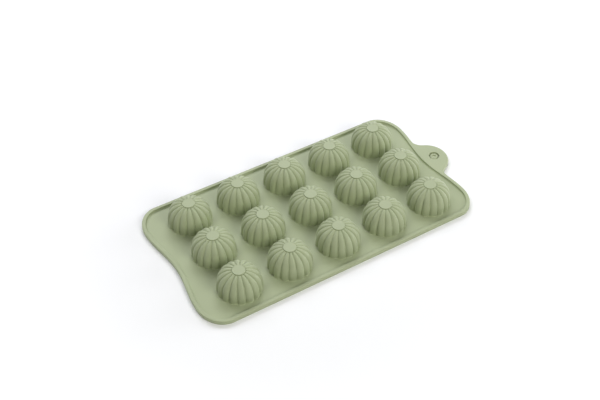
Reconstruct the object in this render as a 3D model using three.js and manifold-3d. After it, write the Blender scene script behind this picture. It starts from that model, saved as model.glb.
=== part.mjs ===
import * as THREE from 'three';
import { mergeVertices } from 'three/addons/utils/BufferGeometryUtils.js';
import Module from 'manifold-3d';

// Silicone chocolate mould lying on its fill face with the cups standing up.
// Millimetres, +Z up, long side along X, hanging tab at the +X end.

// Grid of cups, counted from the plain end
const COLUMNS = 5;
const ROW_NAMES = ['front', 'middle', 'back'];
const COLUMN_GAP = 6.8;
const ROW_GAP = 4.4;

// Fluted dome cup with steep sides, full shoulders and a raised flat crown
const DOME_RADIUS = 14.6;
const DOME_HEIGHT = 15.8;
const DOME_FULLNESS = 2.8;
const CROWN_RADIUS = 4.1;
const CROWN_RISE = 0.35;
const FLUTES = 16;
const FLUTE_DEPTH = 1.2;
const FLUTE_TAPER = 0.75;
const CUP_WALL = 1.3;

// Sheet and the lip round its edge
const SHEET_THICKNESS = 1.4;
const LIP_WIDTH = 2.5;
const LIP_HEIGHT = 1.5;
const LIP_ROUND = 0.6;

// Plan of the edge, measured from the outermost cups
const SIDE_MARGIN = 7.2;
const PLAIN_END_MARGIN = 16.6;
const TAB_END_MARGIN = 12.6;
const CORNER_LENGTH = 15.5;
const CORNER_WIDTH = 19;
const WAIST_DEPTH = 4;

// Hanging tab and its stepped blind recess
const TAB_RADIUS = 14.4;
const TAB_CENTRE_PAST_WAIST = 1.5;
const TAB_ROOT_FLARE = 4.1;
const TAB_SHOULDER_ANGLE = THREE.MathUtils.degToRad(62);
const RECESS_TO_TAB_TIP = 8.9;
const RECESS_RADIUS = 3.6;
const RECESS_DEPTH = 1;
const DIMPLE_RADIUS = 1.6;
const DIMPLE_DEPTH = 0.6;

// Fineness of the curves
const OUTER_LOBE_POINTS = [4, 4, 3, 2, 2];
const HOLLOW_LOBE_POINTS = [2, 2, 2];
const CORNER_STEPS = 8;
const END_STEPS = 4;
const TAB_STEPS = 7;
const RECESS_SIDES = 24;
const CUT_OVERRUN = 1;

// Places worked out from the sizes above, with the middle cup at the centre
const columnPitch = 2 * DOME_RADIUS + COLUMN_GAP;
const rowPitch = 2 * DOME_RADIUS + ROW_GAP;
const firstColumn = -(COLUMNS - 1) / 2 * columnPitch;
const firstRow = -(ROW_NAMES.length - 1) / 2 * rowPitch;
const halfWidth = DOME_RADIUS + SIDE_MARGIN - firstRow;
const plainEnd = DOME_RADIUS + PLAIN_END_MARGIN - firstColumn;
const tabEnd = DOME_RADIUS + TAB_END_MARGIN - firstColumn;
const shoulder = halfWidth - CORNER_WIDTH;
const lipTop = SHEET_THICKNESS + LIP_HEIGHT;
const tabCentre = tabEnd - WAIST_DEPTH + TAB_CENTRE_PAST_WAIST;
const tabTip = tabCentre + TAB_RADIUS;
const tabRoot = TAB_RADIUS + TAB_ROOT_FLARE;
const tipHeight = DOME_HEIGHT - CROWN_RISE;
const hollowRadius = DOME_RADIUS - CUP_WALL;
const hollowTop = tipHeight - CUP_WALL;

const wasm = await Module();
wasm.setup();

function silicone() {
  return new THREE.MeshStandardMaterial({ color: 0xa9b190, roughness: 0.55, metalness: 0 });
}

function namedMesh(name, geometry) {
  const mesh = new THREE.Mesh(geometry, silicone());
  mesh.name = name;
  return mesh;
}

// Evenly spaced values from the first up to, but without, the last
function steps(first, last, count) {
  return Array.from({ length: count }, (_, i) => first + (last - first) * i / count);
}

// Each short end is drawn in to a waist by one wave of a cosine
function endReach(end, y) {
  return end - WAIST_DEPTH * (1 + Math.cos(Math.PI * y / shoulder)) / 2;
}

function tabSide(y) {
  return new THREE.Vector2(endReach(tabEnd, y), y);
}

function plainSide(y) {
  return new THREE.Vector2(-endReach(plainEnd, y), y);
}

// Points that the tab's root shares with the edge of the sheet and lip
function tabRootPoints() {
  return [...steps(-tabRoot, tabRoot, 2 * END_STEPS), tabRoot].map(tabSide);
}

function cornerArc(x, y, quarter) {
  const start = quarter * Math.PI / 2;
  const arc = new THREE.EllipseCurve(x, y, CORNER_LENGTH, CORNER_WIDTH, start, start + Math.PI / 2);
  return arc.getPoints(CORNER_STEPS);
}

// The edge seen from above, anticlockwise from the tab end's front shoulder
function edgeOutline() {
  const tabCorner = tabEnd - CORNER_LENGTH;
  const plainCorner = CORNER_LENGTH - plainEnd;
  return [
    ...steps(-shoulder, -tabRoot, END_STEPS).map(tabSide),
    ...tabRootPoints(),
    ...steps(tabRoot, shoulder, END_STEPS).slice(1).map(tabSide),
    ...cornerArc(tabCorner, shoulder, 0),
    ...cornerArc(plainCorner, shoulder, 1),
    ...steps(shoulder, -shoulder, 4 * END_STEPS).slice(1).map(plainSide),
    ...cornerArc(plainCorner, -shoulder, 2),
    ...cornerArc(tabCorner, -shoulder, 3).slice(0, -1),
  ];
}

// The outline at one height, moved inwards by a distance that may change from point to point
function insetRing(outline, insetAt, z) {
  return outline.map((point, i) => {
    const before = outline[(i + outline.length - 1) % outline.length];
    const after = outline[(i + 1) % outline.length];
    const along = after.clone().sub(before).normalize();
    const inset = insetAt(point);
    return new THREE.Vector3(point.x - along.y * inset, point.y + along.x * inset, z);
  });
}

// Triangles between two rings of points, which may differ in count; one point is a pole
function zipRings(index, firstA, countA, firstB, countB) {
  const endA = countA > 1 ? countA : 0;
  const endB = countB > 1 ? countB : 0;
  let i = 0;
  let j = 0;
  while (i < endA || j < endB) {
    const a = firstA + i % countA;
    const b = firstB + j % countB;
    const alongA = j >= endB || (i < endA && (i + 1) / countA <= (j + 1) / countB);
    if (alongA) {
      i += 1;
      index.push(a, firstA + i % countA, b);
    } else {
      j += 1;
      index.push(a, firstB + j % countB, b);
    }
  }
}

// Closed skin over a run of rings that starts and ends in poles, or comes back to its first ring
function skinOver(rings) {
  const firsts = rings.map((_, k) => rings.slice(0, k).flat().length);
  const index = [];
  const endsInPole = rings.at(-1).length === 1;
  const bands = endsInPole ? rings.length - 1 : rings.length;
  for (let k = 0; k < bands; k += 1) {
    const next = (k + 1) % rings.length;
    zipRings(index, firsts[k], rings[k].length, firsts[next], rings[next].length);
  }
  const geometry = new THREE.BufferGeometry().setFromPoints(rings.flat());
  geometry.setIndex(index);
  return geometry;
}

// Turns of points spread round a cup from a groove; a lobe faces each side of the mould
function turnsRound(count) {
  const firstGroove = Math.PI / FLUTES;
  return steps(firstGroove, firstGroove + 2 * Math.PI, count);
}

function plainRing(radius, z) {
  return turnsRound(FLUTES).map((turn) => {
    return new THREE.Vector3(radius * Math.cos(turn), radius * Math.sin(turn), z);
  });
}

// Reach and height of a dome's side, from its foot at share 0 to the crown's edge at share 1
function domeSide(footRadius, top, share) {
  const crownTurn = Math.acos((CROWN_RADIUS / DOME_RADIUS) ** (DOME_FULLNESS / 2));
  const turn = crownTurn * share;
  const reach = footRadius * Math.cos(turn) ** (2 / DOME_FULLNESS);
  const height = top * (Math.sin(turn) / Math.sin(crownTurn)) ** (2 / DOME_FULLNESS);
  return new THREE.Vector2(reach, height);
}

// One level of a fluted dome: round lobes reach its full size, narrow grooves lie between them
function flutedRing(footRadius, top, share, lobePoints) {
  const side = domeSide(footRadius, top, share);
  const depth = FLUTE_DEPTH * (side.x / footRadius) ** FLUTE_TAPER;
  return turnsRound(FLUTES * lobePoints).map((turn, i) => {
    const acrossLobe = 2 * (i % lobePoints) / lobePoints - 1;
    const drawn = side.clone().setLength(side.length() - depth * acrossLobe ** 2);
    return new THREE.Vector3(drawn.x * Math.cos(turn), drawn.x * Math.sin(turn), drawn.y);
  });
}

// Rings of the hollow from its mouth upwards; the crown's edge follows as a plain ring
function hollowRings() {
  const bands = HOLLOW_LOBE_POINTS.length;
  const wallRing = (points, k) => flutedRing(hollowRadius, hollowTop, k / bands, points);
  const crownEdge = domeSide(hollowRadius, hollowTop, 1);
  return [...HOLLOW_LOBE_POINTS.map(wallRing), plainRing(crownEdge.x, crownEdge.y)];
}

// Rings of the outside from its foot to the lobes' tips
function domeRings() {
  const bands = OUTER_LOBE_POINTS.length - 1;
  return OUTER_LOBE_POINTS.map((points, k) => flutedRing(DOME_RADIUS, tipHeight, k / bands, points));
}

// A shell whose foot stands at height zero, skinned from the hollow's top round the mouth to the crown
function cupGeometry() {
  return skinOver([
    [new THREE.Vector3(0, 0, hollowTop)],
    ...hollowRings().reverse(),
    ...domeRings(),
    plainRing(CROWN_RADIUS, DOME_HEIGHT),
    [new THREE.Vector3(0, 0, DOME_HEIGHT)],
  ]);
}

function cupPlaces() {
  return ROW_NAMES.flatMap((row, r) => steps(0, COLUMNS, COLUMNS).map((column) => ({
    name: `cup_${row}_${column + 1}`,
    x: firstColumn + column * columnPitch,
    y: firstRow + r * rowPitch,
  })));
}

// Flat sheet with the mouth of every cup cut through it
function sheetGeometry() {
  const shape = new THREE.Shape(edgeOutline());
  const mouth = flutedRing(hollowRadius, hollowTop, 0, HOLLOW_LOBE_POINTS[0]);
  for (const place of cupPlaces()) {
    shape.holes.push(new THREE.Path(mouth.map((p) => new THREE.Vector2(p.x + place.x, p.y + place.y))));
  }
  return new THREE.ExtrudeGeometry(shape, { depth: SHEET_THICKNESS, bevelEnabled: false });
}

// Lip with a rounded outer edge, which runs out where the tab carries on from it
function lipGeometry() {
  const outline = edgeOutline();
  const onTabRoot = (point) => point.x > 0 && Math.abs(point.y) <= tabRoot;
  return skinOver([
    insetRing(outline, () => 0, SHEET_THICKNESS),
    insetRing(outline, () => 0, lipTop - LIP_ROUND),
    insetRing(outline, (point) => (onTabRoot(point) ? 0 : LIP_ROUND), lipTop),
    insetRing(outline, () => LIP_WIDTH, lipTop),
    insetRing(outline, () => LIP_WIDTH, SHEET_THICKNESS),
  ]);
}

// The tab's plan: a round end that flares into the edge on both sides
function tabShape() {
  const root = tabRootPoints();
  const shoulderX = tabCentre + TAB_RADIUS * Math.cos(TAB_SHOULDER_ANGLE);
  const shoulderY = TAB_RADIUS * Math.sin(TAB_SHOULDER_ANGLE);
  const flareY = (shoulderY + tabRoot) / 2;
  const flareX = shoulderX - (flareY - shoulderY) * Math.tan(TAB_SHOULDER_ANGLE);
  const shape = new THREE.Shape();
  shape.moveTo(root.at(-1).x, root.at(-1).y);
  shape.quadraticCurveTo(flareX, flareY, shoulderX, shoulderY);
  shape.absarc(tabCentre, 0, TAB_RADIUS, TAB_SHOULDER_ANGLE, -TAB_SHOULDER_ANGLE, true);
  shape.quadraticCurveTo(flareX, -flareY, root[0].x, root[0].y);
  for (const point of root.slice(1, -1)) {
    shape.lineTo(point.x, point.y);
  }
  return shape;
}

function toSolid(geometry) {
  const plain = geometry.clone();
  plain.deleteAttribute('normal');
  plain.deleteAttribute('uv');
  const merged = mergeVertices(plain);
  const vertProperties = new Float32Array(merged.attributes.position.array);
  const triVerts = new Uint32Array(merged.index.array);
  return new wasm.Manifold(new wasm.Mesh({ numProp: 3, vertProperties, triVerts }));
}

function toGeometry(solid) {
  const mesh = solid.getMesh();
  const geometry = new THREE.BufferGeometry();
  geometry.setAttribute('position', new THREE.BufferAttribute(mesh.vertProperties, 3));
  geometry.setIndex(new THREE.BufferAttribute(mesh.triVerts, 1));
  return geometry;
}

// Round cutter that reaches down from above the lip's top to a depth below it
function recessCutter(radius, depth) {
  const height = depth + CUT_OVERRUN;
  const cutter = new THREE.CylinderGeometry(radius, radius, height, RECESS_SIDES);
  cutter.rotateX(Math.PI / 2);
  cutter.translate(tabTip - RECESS_TO_TAB_TIP, 0, lipTop - depth + height / 2);
  return toSolid(cutter);
}

function tabGeometry() {
  const tongue = new THREE.ExtrudeGeometry(tabShape(), {
    depth: lipTop,
    bevelEnabled: false,
    curveSegments: TAB_STEPS,
  });
  const recessed = toSolid(tongue)
    .subtract(recessCutter(RECESS_RADIUS, RECESS_DEPTH))
    .subtract(recessCutter(DIMPLE_RADIUS, RECESS_DEPTH + DIMPLE_DEPTH));
  return toGeometry(recessed);
}

// The origin lies under the middle of the whole length, tab included
const mould = new THREE.Group();
mould.position.x = (plainEnd - tabTip) / 2;
mould.add(namedMesh('base_sheet', sheetGeometry()));
mould.add(namedMesh('rim_lip', lipGeometry()));
mould.add(namedMesh('hang_tab', tabGeometry()));

for (const place of cupPlaces()) {
  const cup = namedMesh(place.name, cupGeometry());
  cup.position.set(place.x, place.y, SHEET_THICKNESS);
  mould.add(cup);
}

export default mould;
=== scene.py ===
import math

import bmesh
import bpy
from mathutils import Matrix, Vector


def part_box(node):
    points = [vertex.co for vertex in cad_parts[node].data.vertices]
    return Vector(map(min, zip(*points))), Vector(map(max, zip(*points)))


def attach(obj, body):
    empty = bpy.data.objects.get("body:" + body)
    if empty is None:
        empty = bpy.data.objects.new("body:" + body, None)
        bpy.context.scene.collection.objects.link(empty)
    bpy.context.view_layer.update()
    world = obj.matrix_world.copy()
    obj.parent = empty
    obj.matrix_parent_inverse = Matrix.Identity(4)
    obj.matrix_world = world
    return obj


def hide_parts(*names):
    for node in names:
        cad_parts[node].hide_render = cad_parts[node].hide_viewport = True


# All sizes are in metres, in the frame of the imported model.
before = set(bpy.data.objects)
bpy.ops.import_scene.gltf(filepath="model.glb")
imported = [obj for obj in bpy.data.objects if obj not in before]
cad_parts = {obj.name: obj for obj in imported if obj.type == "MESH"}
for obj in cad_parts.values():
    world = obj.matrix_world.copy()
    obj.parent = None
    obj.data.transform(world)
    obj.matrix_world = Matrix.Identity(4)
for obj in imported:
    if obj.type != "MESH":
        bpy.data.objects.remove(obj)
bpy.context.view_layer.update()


# Base sheet
# A thin flat web of sage green silicone that joins all the cups, cast in one shot with them, the lip and
# the tab. Its underside is the fill face, with a fluted mouth under every cup and a softly rounded edge.

class Wire:
    """A node's output that can stand in a Python sum, which then adds the Math nodes."""

    def __init__(self, tree, socket=None):
        self.tree = tree
        self.socket = socket

    def node(self, kind, settings=None, sockets=None, output=0):
        """Adds any node: its settings first, then the values or links of its sockets."""
        added = self.tree.nodes.new(kind)
        for name, value in (settings or {}).items():
            setattr(added, name, value)
        for key, value in (sockets or {}).items():
            if isinstance(value, Wire):
                self.tree.links.new(value.socket, added.inputs[key])
            else:
                added.inputs[key].default_value = value
        return Wire(self.tree, added.outputs[output] if added.outputs else None)

    def sibling(self, output):
        """Another output of the same node."""
        return Wire(self.tree, self.socket.node.outputs[output])

    def math(self, operation, *values):
        """A Math node on these values."""
        return self.node("ShaderNodeMath", {"operation": operation}, dict(enumerate(values)))

    def smooth(self, start, end):
        """This value eased from 0 at the start to 1 at the end."""
        sockets = {"Value": self, "From Min": start, "From Max": end}
        return self.node("ShaderNodeMapRange", {"interpolation_type": "SMOOTHSTEP"}, sockets)

    def colour(self, low, high):
        """A colour between two, by this value. Inputs 6 and 7 of a Mix node are its colours."""
        sockets = {0: self, 6: low, 7: high}
        return self.node("ShaderNodeMix", {"data_type": "RGBA"}, sockets, output=2)

    def __add__(self, other):
        return self.math("ADD", self, other)

    def __radd__(self, other):
        return self.math("ADD", other, self)

    def __sub__(self, other):
        return self.math("SUBTRACT", self, other)

    def __rsub__(self, other):
        return self.math("SUBTRACT", other, self)

    def __mul__(self, other):
        return self.math("MULTIPLY", self, other)

    def __rmul__(self, other):
        return self.math("MULTIPLY", other, self)

    def __truediv__(self, other):
        return self.math("DIVIDE", self, other)

    def __rtruediv__(self, other):
        return self.math("DIVIDE", other, self)

    def __pow__(self, other):
        return self.math("POWER", self, other)

    def __rpow__(self, other):
        return self.math("POWER", other, self)


SAGE = (0.395, 0.442, 0.27, 1.0)
SAGE_DEEP = (0.366, 0.413, 0.246, 1.0)
CLOUD_SCALE = 42.0
PEEL_SCALE = 520.0
GRAIN_SCALE = 2600.0
CLOUD_DETAIL = 2.0
PEEL_DETAIL = 1.0
GRAIN_DETAIL = 2.0
CLOUD_IN_PIGMENT = 0.8
PEEL_IN_RELIEF = 0.65
SATIN_ROUGHNESS = 0.46
CLOUD_ROUGHNESS = 0.06
GRAIN_ROUGHNESS = 0.1
RELIEF_STRENGTH = 0.12
RELIEF_HEIGHT = 0.0001
SILICONE_IOR = 1.41
SHEEN_WEIGHT = 0.15
SHEEN_ROUGHNESS = 0.4


def noise(place, scale, detail):
    """Noise that is fixed to the mould."""
    return place.node("ShaderNodeTexNoise", None, {"Vector": place, "Scale": scale, "Detail": detail})


def sage_silicone():
    """Matte cast silicone: a faint cloud in the pigment, a satin sheen and a fine moulded grain."""
    material = bpy.data.materials.new("sage_silicone")
    material.use_nodes = True
    tree = material.node_tree
    tree.nodes.clear()
    place = Wire(tree).node("ShaderNodeTexCoord", output="Object")
    cloud = noise(place, CLOUD_SCALE, CLOUD_DETAIL)
    peel = noise(place, PEEL_SCALE, PEEL_DETAIL)
    grain = noise(place, GRAIN_SCALE, GRAIN_DETAIL)
    shade = CLOUD_IN_PIGMENT * cloud + (1 - CLOUD_IN_PIGMENT) * grain
    height = PEEL_IN_RELIEF * peel + (1 - PEEL_IN_RELIEF) * grain
    relief = {"Height": height, "Strength": RELIEF_STRENGTH, "Distance": RELIEF_HEIGHT}
    rubber = place.node("ShaderNodeBsdfPrincipled", None, {
        "Base Color": shade.colour(SAGE_DEEP, SAGE),
        "Roughness": SATIN_ROUGHNESS + GRAIN_ROUGHNESS * grain + CLOUD_ROUGHNESS * cloud,
        "Normal": height.node("ShaderNodeBump", None, relief),
        "IOR": SILICONE_IOR,
        "Sheen Weight": SHEEN_WEIGHT,
        "Sheen Roughness": SHEEN_ROUGHNESS,
    })
    rubber.node("ShaderNodeOutputMaterial", None, {"Surface": rubber})
    return material


silicone = sage_silicone()

sheet_low, sheet_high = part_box("base_sheet")
tab_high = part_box("hang_tab")[1]
fill_face = sheet_low.z
sheet_top = sheet_high.z
half_width = sheet_high.y
tab_root = tab_high.y
CORNER_LENGTH = 0.0155
CORNER_WIDTH = 0.019
WAIST_DEPTH = 0.004
SHEET_EDGE_ROUND = 0.0005
ROOT_FADE = 0.004
CORNER_STEPS = 28
SHOULDER_STEPS = 20
ROOT_STEPS = 40
PLAIN_END_STEPS = 80
ROUND_STEPS = 6
# A narrow band beside each rounded edge, which keeps the shading of the face next to it flat.
HOLD = 0.00012
WALL_ABOVE = 1
WALL_BELOW = -1
SHARP_ANGLE = math.radians(38)
MERGE_DISTANCE = 1e-7
shoulder = half_width - CORNER_WIDTH


def spread(first, last, count):
    """Evenly spaced values from the first up to, but without, the last."""
    return [first + (last - first) * i / count for i in range(count)]


def ease(value):
    """Smooth step from 0 to 1."""
    value = min(max(value, 0.0), 1.0)
    return value * value * (3 - 2 * value)


def end_point(end, y):
    """A point of a short end, which one wave of a cosine draws in to a waist."""
    waist = WAIST_DEPTH * (1 + math.cos(math.pi * y / shoulder)) / 2
    return Vector((end - math.copysign(waist, end), y))


def corner_points(x, y, quarter):
    """A quarter of an ellipse, without its last point."""
    turns = spread(quarter * math.pi / 2, (quarter + 1) * math.pi / 2, CORNER_STEPS)
    return [Vector((x + CORNER_LENGTH * math.cos(t), y + CORNER_WIDTH * math.sin(t))) for t in turns]


def tab_root_points():
    """The stretch of the edge that the tab grows out of, front to back."""
    return [end_point(sheet_high.x, y) for y in spread(-tab_root, tab_root, ROOT_STEPS) + [tab_root]]


def edge_outline():
    """The edge seen from above, anticlockwise from the tab end's front shoulder."""
    tab_corner = sheet_high.x - CORNER_LENGTH
    plain_corner = sheet_low.x + CORNER_LENGTH
    points = [end_point(sheet_high.x, y) for y in spread(-shoulder, -tab_root, SHOULDER_STEPS)]
    points += tab_root_points()
    points += [end_point(sheet_high.x, y) for y in spread(tab_root, shoulder, SHOULDER_STEPS)[1:]]
    points += corner_points(tab_corner, shoulder, 0) + [Vector((tab_corner, half_width))]
    points += corner_points(plain_corner, shoulder, 1)
    points += [end_point(sheet_low.x, y) for y in spread(shoulder, -shoulder, PLAIN_END_STEPS)]
    points += corner_points(plain_corner, -shoulder, 2) + [Vector((plain_corner, -half_width))]
    points += corner_points(tab_corner, -shoulder, 3)
    return points


def edge_fade(point):
    """How much of its rounding the edge keeps: none where the tab runs on from it."""
    if point.x < 0:
        return 1.0
    return ease((abs(point.y) - tab_root) / ROOT_FADE)


def quarter_round(radius):
    """Steps of a rounded edge: how far in from the wall and how far from the face."""
    turns = spread(0, math.pi / 2, ROUND_STEPS) + [math.pi / 2]
    return [(radius * (1 - math.cos(t)), radius * (1 - math.sin(t))) for t in turns]


def inset_ring(shape, outline, place):
    """A ring of new vertices along the outline; place gives a point's inset and height."""
    ring = []
    for i, point in enumerate(outline):
        along = (outline[(i + 1) % len(outline)] - outline[i - 1]).normalized()
        inset, height = place(point)
        ring.append(shape.verts.new((point.x - along.y * inset, point.y + along.x * inset, height)))
    return ring


def level_ring(shape, outline, inset, height):
    """A ring with the same inset and height all round."""
    return inset_ring(shape, outline, lambda point: (inset, height))


def rounded_edge(shape, outline, radius, face, wall, fade):
    """Rings from a wall, above or below a flat face, round its edge and a short way onto the face."""
    rings = []
    for inward, away in quarter_round(radius):
        rings.append(inset_ring(shape, outline, lambda point: (
            inward * fade(point),
            face + wall * away * fade(point),
        )))
    rings.append(inset_ring(shape, outline, lambda point: (radius * fade(point) + HOLD, face)))
    return rings


def bridge(shape, rings):
    """Bands of faces between closed rings with the same number of vertices."""
    for lower, upper in zip(rings, rings[1:]):
        for i in range(len(lower)):
            shape.faces.new((lower[i - 1], lower[i], upper[i], upper[i - 1]))


def fill_flat(shape, rings):
    """A flat face between an outer ring and the holes in it."""
    edges = []
    for ring in rings:
        for i in range(len(ring)):
            edge = shape.edges.get((ring[i - 1], ring[i]))
            edges.append(edge or shape.edges.new((ring[i - 1], ring[i])))
    bmesh.ops.triangle_fill(shape, use_beauty=True, edges=edges, normal=(0, 0, 1))


def finish_piece(node, shape):
    """Makes a shape the finished silicone piece that stands for a node."""
    bmesh.ops.remove_doubles(shape, verts=shape.verts, dist=MERGE_DISTANCE)
    bmesh.ops.recalc_face_normals(shape, faces=shape.faces)
    mesh = bpy.data.meshes.new(node + "_cast")
    shape.to_mesh(mesh)
    shape.free()
    mesh.shade_smooth()
    mesh.set_sharp_from_angle(angle=SHARP_ANGLE)
    mesh.materials.append(silicone)
    piece = bpy.data.objects.new(node + "_cast", mesh)
    bpy.context.collection.objects.link(piece)
    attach(piece, "root")
    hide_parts(node)


CUP_NODES = [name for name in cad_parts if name.startswith("cup_")]
DOME_RADIUS = 0.0146
CUP_WALL = 0.0013
MOUTH_ROUND = 0.0003
FLUTES = 16
FLUTE_DEPTH = 0.0012
FLUTE_STEPS = 16
LOBE_POWER = 2.6
# Half a flute's turn, which sets the middle of a lobe on the X axis.
LOBE_ON_AXIS = 0.5
hollow_radius = DOME_RADIUS - CUP_WALL


def cup_place(node):
    """Centre of a cup's foot on the sheet's top."""
    low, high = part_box(node)
    return Vector(((low.x + high.x) / 2, (low.y + high.y) / 2, sheet_top))


def mouth_ring(shape, centre, widen, height):
    """The fluted mouth of a cup at one height, widened where its edge is rounded."""
    ring = []
    for turn in spread(0, 2 * math.pi, FLUTES * FLUTE_STEPS):
        across = 2 * ((turn * FLUTES / (2 * math.pi) + LOBE_ON_AXIS) % 1) - 1
        radius = hollow_radius + widen - FLUTE_DEPTH * abs(across) ** LOBE_POWER
        x = centre.x + radius * math.cos(turn)
        y = centre.y + radius * math.sin(turn)
        ring.append(shape.verts.new((x, y, height)))
    return ring


def base_sheet():
    """The sheet's rounded side and the walls of its mouths, then its two flat faces round them."""
    shape = bmesh.new()
    outline = edge_outline()
    side = [level_ring(shape, outline, 0.0, sheet_top)]
    side += rounded_edge(shape, outline, SHEET_EDGE_ROUND, fill_face, WALL_ABOVE, edge_fade)
    bridge(shape, side)
    top_rings = [side[0]]
    fill_rings = [side[-1]]
    for node in CUP_NODES:
        centre = cup_place(node)
        mouth = [mouth_ring(shape, centre, 0.0, sheet_top)]
        mouth += [mouth_ring(shape, centre, out, fill_face + up) for out, up in quarter_round(MOUTH_ROUND)]
        mouth.append(mouth_ring(shape, centre, MOUTH_ROUND + HOLD, fill_face))
        bridge(shape, mouth)
        top_rings.append(mouth[0])
        fill_rings.append(mouth[-1])
    fill_flat(shape, top_rings)
    fill_flat(shape, fill_rings)
    finish_piece("base_sheet", shape)


base_sheet()


# Rim lip
# A raised bead of the same silicone round the whole edge of the sheet, cast with it to stiffen it.
# Its top is flat, its outer edge softly rounded, and its inner side runs into the sheet in a cove.

lip_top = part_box("rim_lip")[1].z
LIP_WIDTH = 0.0025
LIP_OUTER_ROUND = 0.0006
LIP_INNER_ROUND = 0.0002
LIP_FOOT_FILLET = 0.001
# How far a foot reaches into the sheet, so that no line of light shows under its edge.
SINK = 0.00003


def rim_lip():
    """One closed band: outer wall, flat top, inner wall, cove, and back under the foot."""
    shape = bmesh.new()
    outline = edge_outline()
    rings = [level_ring(shape, outline, 0.0, sheet_top)]
    rings += rounded_edge(shape, outline, LIP_OUTER_ROUND, lip_top, WALL_BELOW, edge_fade)
    rings.append(level_ring(shape, outline, LIP_WIDTH - LIP_INNER_ROUND - HOLD, lip_top))
    for back, down in reversed(quarter_round(LIP_INNER_ROUND)):
        rings.append(level_ring(shape, outline, LIP_WIDTH - back, lip_top - down))
    for out, up in quarter_round(LIP_FOOT_FILLET):
        rings.append(level_ring(shape, outline, LIP_WIDTH + out, sheet_top + up))
    rings.append(level_ring(shape, outline, LIP_WIDTH + LIP_FOOT_FILLET, sheet_top - SINK))
    bridge(shape, rings + [rings[0]])
    finish_piece("rim_lip", shape)


rim_lip()


# Hanging tab
# A tongue of silicone as thick as the sheet and lip together, cast on at the middle of one short end.
# A round recess with a low dimpled button in it marks the spot where it can be pierced for a hook.

TAB_RADIUS = 0.0144
TAB_SHOULDER_ANGLE = math.radians(62)
TAB_EDGE_ROUND = 0.0009
FLARE_STEPS = 12
TAB_STEPS = 48
RECESS_TO_TAB_TIP = 0.0089
RECESS_RADIUS = 0.0036
RECESS_DEPTH = 0.0013
BUTTON_RADIUS = 0.0027
BUTTON_HEIGHT = 0.0007
DIMPLE_RADIUS = 0.0013
DIMPLE_DEPTH = 0.0005
RECESS_EDGE_ROUND = 0.00015
RECESS_STEPS = 64
tab_centre = tab_high.x - TAB_RADIUS
recess_centre = tab_high.x - RECESS_TO_TAB_TIP
recess_floor = lip_top - RECESS_DEPTH
button_top = recess_floor + BUTTON_HEIGHT


def flare_points(start, bend, end):
    """A quadratic curve from the tab's root to its round end, without the last point."""
    return [start.lerp(bend, t).lerp(bend.lerp(end, t), t) for t in spread(0, 1, FLARE_STEPS)]


def tab_outline():
    """The tab seen from above, anticlockwise from the front end of its root."""
    root = tab_root_points()
    arc_x = tab_centre + TAB_RADIUS * math.cos(TAB_SHOULDER_ANGLE)
    arc_y = TAB_RADIUS * math.sin(TAB_SHOULDER_ANGLE)
    bend_y = (arc_y + tab_root) / 2
    bend_x = arc_x - (bend_y - arc_y) * math.tan(TAB_SHOULDER_ANGLE)
    front_flare = flare_points(root[0], Vector((bend_x, -bend_y)), Vector((arc_x, -arc_y)))
    back_flare = flare_points(root[-1], Vector((bend_x, bend_y)), Vector((arc_x, arc_y)))
    turns = spread(-TAB_SHOULDER_ANGLE, TAB_SHOULDER_ANGLE, TAB_STEPS) + [TAB_SHOULDER_ANGLE]
    arc = [Vector((tab_centre + TAB_RADIUS * math.cos(t), TAB_RADIUS * math.sin(t))) for t in turns]
    return front_flare + arc + back_flare[::-1] + root[-2:0:-1]


def tab_fade(point):
    """How much of its rounding the tab's edge keeps: none along the root."""
    root_x = end_point(sheet_high.x, point.y).x
    return ease((point.x - root_x) / ROOT_FADE)


def recess_ring(shape, radius, height):
    """A circle round the recess's middle."""
    return [
        shape.verts.new((recess_centre + radius * math.cos(t), radius * math.sin(t), height))
        for t in spread(0, 2 * math.pi, RECESS_STEPS)
    ]


def step_down(shape, radius, top, depth):
    """Rings of a round wall with a softened edge above and a softened corner below."""
    rings = [recess_ring(shape, radius + RECESS_EDGE_ROUND + HOLD, top)]
    for back, down in reversed(quarter_round(RECESS_EDGE_ROUND)):
        rings.append(recess_ring(shape, radius + back, top - down))
    for inward, up in quarter_round(RECESS_EDGE_ROUND):
        rings.append(recess_ring(shape, radius - inward, top - depth + up))
    return rings


def step_up(shape, radius, floor, top):
    """Rings of the round wall of the button that stands in the recess."""
    rings = []
    for out, up in reversed(quarter_round(RECESS_EDGE_ROUND)):
        rings.append(recess_ring(shape, radius + out, floor + up))
    for back, down in quarter_round(RECESS_EDGE_ROUND):
        rings.append(recess_ring(shape, radius - back, top - down))
    return rings


def hang_tab():
    """The tongue's rounded side, the recess with its button, then the two flat faces."""
    shape = bmesh.new()
    outline = tab_outline()
    fill_edge = rounded_edge(shape, outline, SHEET_EDGE_ROUND, fill_face, WALL_ABOVE, tab_fade)
    top_edge = rounded_edge(shape, outline, TAB_EDGE_ROUND, lip_top, WALL_BELOW, tab_fade)
    bridge(shape, fill_edge[::-1] + top_edge)
    recess = step_down(shape, RECESS_RADIUS, lip_top, RECESS_DEPTH)
    recess += step_up(shape, BUTTON_RADIUS, recess_floor, button_top)
    recess += step_down(shape, DIMPLE_RADIUS, button_top, DIMPLE_DEPTH)
    bridge(shape, recess)
    shape.faces.new(recess[-1])
    fill_flat(shape, [top_edge[-1], recess[0]])
    fill_flat(shape, [fill_edge[-1]])
    finish_piece("hang_tab", shape)


hang_tab()


# Cups
# Fifteen hollow fluted domes, thin shells of the same casting in five columns and three rows. Each has steep
# sides with round lobes parted by narrow grooves, which end at a fine crease round a flat raised crown.

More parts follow.
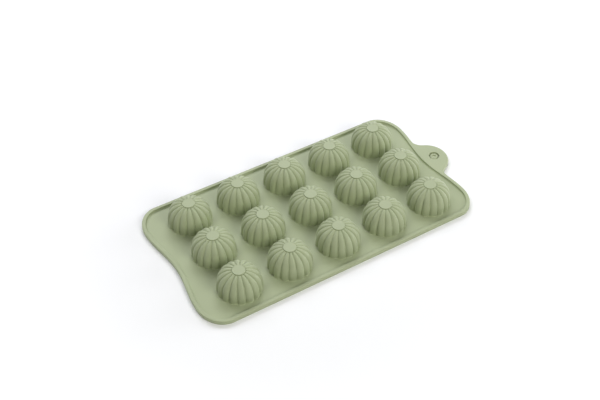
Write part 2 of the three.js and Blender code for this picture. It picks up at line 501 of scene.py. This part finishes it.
DOME_FULLNESS = 2.8
CROWN_RADIUS = 0.0041
CROWN_RISE = 0.00035
CROWN_ROUND = 0.00012
CROWN_BLEND = 0.0004
CREASE_DEPTH = 0.00035
CREASE_WIDTH = 0.0007
FLUTE_TAPER = 0.75
FOOT_FILLET = 0.0003
SIDE_STEPS = 40
CREASE_STEPS = 6
HOLLOW_STEPS = 26
crown_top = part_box(CUP_NODES[0])[1].z - sheet_top
tip_height = crown_top - CROWN_RISE
hollow_top = tip_height - CUP_WALL
crown_turn = math.acos((CROWN_RADIUS / DOME_RADIUS) ** (DOME_FULLNESS / 2))
crease_start = CROWN_RADIUS + CREASE_WIDTH


def dome_side(foot_radius, top, share):
    """Reach and height of a dome's side, from its foot at share 0 to the crown's edge at share 1."""
    turn = crown_turn * share
    reach = foot_radius * math.cos(turn) ** (2 / DOME_FULLNESS)
    height = top * (math.sin(turn) / math.sin(crown_turn)) ** (2 / DOME_FULLNESS)
    return reach, height


def petal_tip(share):
    """A point near the crown, where the lobes' ends round down into a crease at the disc's foot."""
    reach = CROWN_RADIUS + CREASE_WIDTH * (1 - share)
    turn = math.acos((reach / DOME_RADIUS) ** (DOME_FULLNESS / 2))
    height = dome_side(DOME_RADIUS, tip_height, turn / crown_turn)[1]
    return reach, height - CREASE_DEPTH * ease(share)


def cup_section():
    """Half of a cup's section, from the hollow's top round the mouth to the crown."""
    points = [(0.0, hollow_top)]
    points += [dome_side(hollow_radius, hollow_top, share) for share in spread(1.0, 0.0, HOLLOW_STEPS)]
    points += [(hollow_radius, 0.0), (hollow_radius, -SINK), (DOME_RADIUS + FOOT_FILLET, -SINK)]
    points += [(DOME_RADIUS + out, up) for out, up in reversed(quarter_round(FOOT_FILLET))]
    for share in spread(0.0, 1.0, SIDE_STEPS):
        reach, height = dome_side(DOME_RADIUS, tip_height, share)
        if height > FOOT_FILLET + HOLD and reach > crease_start + HOLD:
            points.append((reach, height))
    points += [petal_tip(share) for share in spread(0.0, 1.0, CREASE_STEPS) + [1.0]]
    points += [(CROWN_RADIUS - inward, crown_top - down) for inward, down in quarter_round(CROWN_ROUND)]
    points += [(CROWN_RADIUS - CROWN_ROUND - HOLD, crown_top), (0.0, crown_top)]
    return points


def flute_tree():
    """Presses flutes into a round cup: every point draws in towards the foot's centre by its groove."""
    tree = bpy.data.node_groups.new("cup_flutes", "GeometryNodeTree")
    inputs = (
        ("Cup", "NodeSocketGeometry"),
        ("Flutes", "NodeSocketInt"),
        ("Flute Depth", "NodeSocketFloat"),
        ("Flute Taper", "NodeSocketFloat"),
        ("Foot Radius", "NodeSocketFloat"),
        ("Lobe Power", "NodeSocketFloat"),
        ("Crown Radius", "NodeSocketFloat"),
        ("Crown Blend", "NodeSocketFloat"),
        ("Place", "NodeSocketVector"),
        ("Silicone", "NodeSocketMaterial"),
    )
    for name, kind in inputs:
        tree.interface.new_socket(name, in_out="INPUT", socket_type=kind)
    tree.interface.new_socket("Cup", in_out="OUTPUT", socket_type="NodeSocketGeometry")
    cup = Wire(tree).node("NodeGroupInput")
    point = cup.node("GeometryNodeInputPosition")
    x = cup.node("ShaderNodeSeparateXYZ", None, {0: point})
    y = x.sibling(1)
    z = x.sibling(2)
    turn = y.math("ARCTAN2", y, x) * cup.sibling("Flutes") / (2 * math.pi) + LOBE_ON_AXIS
    across = 2 * turn.math("FRACT", turn) - 1
    groove = across.math("ABSOLUTE", across) ** cup.sibling("Lobe Power")
    reach = (x * x + y * y) ** 0.5
    length = (reach * reach + z * z) ** 0.5
    taper = (reach / cup.sibling("Foot Radius")) ** cup.sibling("Flute Taper")
    crown = cup.sibling("Crown Radius")
    kept = reach.smooth(crown, crown + cup.sibling("Crown Blend"))
    depth = cup.sibling("Flute Depth") * taper * kept
    shrink = 1 - depth * groove / length
    drawn = cup.node("ShaderNodeVectorMath", {"operation": "SCALE"}, {0: point, "Scale": shrink})
    placed = cup.node("ShaderNodeVectorMath", {"operation": "ADD"}, {0: drawn, 1: cup.sibling("Place")})
    fluted = cup.node("GeometryNodeSetPosition", None, {"Geometry": cup, "Position": placed})
    whole = cup.node("GeometryNodeRealizeInstances", None, {"Geometry": fluted})
    coat = {"Geometry": whole, "Material": cup.sibling("Silicone")}
    coated = cup.node("GeometryNodeSetMaterial", None, coat)
    cup.node("NodeGroupOutput", None, {"Cup": coated})
    return tree


def cup_blank(node):
    """The plain section of one cup as a chain of edges, ready to be spun."""
    blank = bmesh.new()
    chain = [blank.verts.new((reach, 0.0, height)) for reach, height in cup_section()]
    for lower, upper in zip(chain, chain[1:]):
        blank.edges.new((lower, upper))
    mesh = bpy.data.meshes.new(node + "_blank")
    blank.to_mesh(mesh)
    blank.free()
    section = bpy.data.objects.new(node + "_blank", mesh)
    bpy.context.collection.objects.link(section)
    return section


def fluted_cup(node, tree):
    """Spins one cup's section, presses its flutes and keeps the result as a plain mesh."""
    section = cup_blank(node)
    spin = section.modifiers.new("spin", "SCREW")
    spin.angle = 2 * math.pi
    spin.axis = "Z"
    spin.steps = FLUTES * FLUTE_STEPS
    spin.render_steps = FLUTES * FLUTE_STEPS
    spin.use_merge_vertices = True
    spin.merge_threshold = MERGE_DISTANCE
    press = section.modifiers.new("flutes", "NODES")
    press.node_group = tree
    settings = {
        "Flutes": FLUTES,
        "Flute Depth": FLUTE_DEPTH,
        "Flute Taper": FLUTE_TAPER,
        "Foot Radius": DOME_RADIUS,
        "Lobe Power": LOBE_POWER,
        "Crown Radius": CROWN_RADIUS,
        "Crown Blend": CROWN_BLEND,
        "Place": cup_place(node),
        "Silicone": silicone,
    }
    for item in tree.interface.items_tree:
        if item.in_out == "INPUT" and item.name in settings:
            press[item.identifier] = settings[item.name]
    evaluated = section.evaluated_get(bpy.context.evaluated_depsgraph_get())
    pressed = bpy.data.meshes.new_from_object(evaluated)
    bpy.data.objects.remove(section)
    shape = bmesh.new()
    shape.from_mesh(pressed)
    bpy.data.meshes.remove(pressed)
    finish_piece(node, shape)


cup_flutes = flute_tree()
for cup_node in CUP_NODES:
    fluted_cup(cup_node, cup_flutes)


# Floor
# A plain white sweep under the mould. It takes the soft shadow round the edge and fades to clean white
# further out, as a lit sweep does. Only the lens and mirrors see its glow, which lights nothing.

FLOOR_SIZE = 6.0
FLOOR_DROP = 0.0002
PAPER_WHITE = (0.9, 0.9, 0.9, 1.0)
WHITE = (1.0, 1.0, 1.0, 1.0)
NEAR_GLOW = 0.11
FAR_GLOW = 1.0
FADE_START = 0.1
FADE_END = 0.5


def white_for_the_lens(wire):
    """One where a ray comes from the camera, a mirror or a clear surface."""
    path = wire.node("ShaderNodeLightPath", output="Is Camera Ray")
    seen = path.math("MAXIMUM", path, path.sibling("Is Glossy Ray"))
    return path.math("MAXIMUM", seen, path.sibling("Is Transmission Ray"))


def lit_paper(paper, strength):
    """The paper with a plain white glow added to it."""
    glow = paper.node("ShaderNodeEmission", None, {"Color": WHITE, "Strength": strength})
    return paper.node("ShaderNodeAddShader", None, {0: paper, 1: glow})


def white_floor():
    """White paper whose glow grows with the distance from the mould."""
    material = bpy.data.materials.new("white_floor")
    material.use_nodes = True
    tree = material.node_tree
    tree.nodes.clear()
    paper = Wire(tree).node("ShaderNodeBsdfDiffuse", None, {"Color": PAPER_WHITE})
    x = paper.node("ShaderNodeSeparateXYZ", None, {0: paper.node("ShaderNodeTexCoord", output="Object")})
    y = x.sibling(1)
    far = ((x * x + y * y) ** 0.5).smooth(FADE_START, FADE_END)
    lit = paper.node("ShaderNodeMixShader", None, {
        0: far,
        1: lit_paper(paper, NEAR_GLOW),
        2: lit_paper(paper, FAR_GLOW),
    })
    shown = paper.node("ShaderNodeMixShader", None, {0: white_for_the_lens(paper), 1: paper, 2: lit})
    paper.node("ShaderNodeOutputMaterial", None, {"Surface": shown})
    return material


floor_shape = bmesh.new()
bmesh.ops.create_grid(floor_shape, x_segments=1, y_segments=1, size=FLOOR_SIZE / 2,
                      matrix=Matrix.Translation((0, 0, -FLOOR_DROP)))
floor_mesh = bpy.data.meshes.new("floor")
floor_shape.to_mesh(floor_mesh)
floor_shape.free()
floor_mesh.materials.append(white_floor())
floor = bpy.data.objects.new("floor", floor_mesh)
bpy.context.collection.objects.link(floor)


# Light
# Five large soft lamps stand round the mould like the walls of a light tent, with a faint even fill.
# The left one is the weakest, so the channels and the cups' left sides lie in soft shade.

ROOM_LIGHT = 0.03
ROOM_WHITE = 1.0
WARM_WHITE = (1.0, 1.0, 0.94)
COOL_WHITE = (0.92, 0.93, 1.0)
LAMP_SIZE = 0.6
FRONT_POWER = 6.9
FRONT_PLACE = Vector((0.23, -0.94, 0.70))
LEFT_POWER = 2.7
LEFT_PLACE = Vector((-0.87, -0.21, 0.80))
BACK_POWER = 6.9
BACK_PLACE = Vector((0.46, 0.76, 0.80))
BACK_LEFT_POWER = 5.3
BACK_LEFT_PLACE = Vector((-0.21, 0.87, 0.80))
RIGHT_POWER = 6.3
RIGHT_PLACE = Vector((1.14, -0.18, 0.29))


def white_room():
    """A faint even fill, and plain white wherever the room itself is seen or mirrored."""
    world = bpy.data.worlds.new("white_room")
    world.use_nodes = True
    tree = world.node_tree
    tree.nodes.clear()
    fill = Wire(tree).node("ShaderNodeBackground", None, {"Color": WHITE, "Strength": ROOM_LIGHT})
    white = fill.node("ShaderNodeBackground", None, {"Color": WHITE, "Strength": ROOM_WHITE})
    shown = fill.node("ShaderNodeMixShader", None, {0: white_for_the_lens(fill), 1: fill, 2: white})
    fill.node("ShaderNodeOutputWorld", None, {"Surface": shown})
    return world


def soft_lamp(name, power, color, place):
    """A square lamp that shines at the mould."""
    lamp = bpy.data.lights.new(name, "AREA")
    lamp.energy = power
    lamp.size = LAMP_SIZE
    lamp.color = color
    stand = bpy.data.objects.new(name, lamp)
    stand.location = place
    stand.rotation_euler = place.to_track_quat("Z", "Y").to_euler()
    bpy.context.collection.objects.link(stand)


bpy.context.scene.world = white_room()
soft_lamp("front_lamp", FRONT_POWER, WARM_WHITE, FRONT_PLACE)
soft_lamp("left_lamp", LEFT_POWER, WARM_WHITE, LEFT_PLACE)
soft_lamp("back_lamp", BACK_POWER, COOL_WHITE, BACK_PLACE)
soft_lamp("back_left_lamp", BACK_LEFT_POWER, COOL_WHITE, BACK_LEFT_PLACE)
soft_lamp("right_lamp", RIGHT_POWER, COOL_WHITE, RIGHT_PLACE)


# Camera
# It stands in front, a third of the way round to the plain end, and looks down across the cups with the
# tab at the far right. It is moved a little aside and down, so that the mould sits off the frame's middle.

CAMERA_AZIMUTH = math.radians(-31.376)
CAMERA_ELEVATION = math.radians(44.473)
CAMERA_DISTANCE = 0.63509
CAMERA_ASIDE = 0.00687
CAMERA_BELOW = 0.0042
LENS = 58.373
SENSOR = 36.0

aim = cup_place("cup_middle_3") + Vector((0, 0, crown_top))
to_right = Vector((math.cos(CAMERA_AZIMUTH), math.sin(CAMERA_AZIMUTH), 0))
to_camera = Vector((
    math.sin(CAMERA_AZIMUTH) * math.cos(CAMERA_ELEVATION),
    -math.cos(CAMERA_AZIMUTH) * math.cos(CAMERA_ELEVATION),
    math.sin(CAMERA_ELEVATION),
))
to_top = to_camera.cross(to_right)
camera_data = bpy.data.cameras.new("camera")
camera_data.lens = LENS
camera_data.sensor_width = SENSOR
camera = bpy.data.objects.new("camera", camera_data)
camera_turn = Matrix((to_right, to_top, to_camera)).transposed().to_4x4()
camera_place = aim + to_camera * CAMERA_DISTANCE - to_right * CAMERA_ASIDE - to_top * CAMERA_BELOW
camera.matrix_world = Matrix.Translation(camera_place) @ camera_turn
bpy.context.collection.objects.link(camera)
bpy.context.scene.camera = camera
bpy.context.scene.view_settings.view_transform = "Standard"
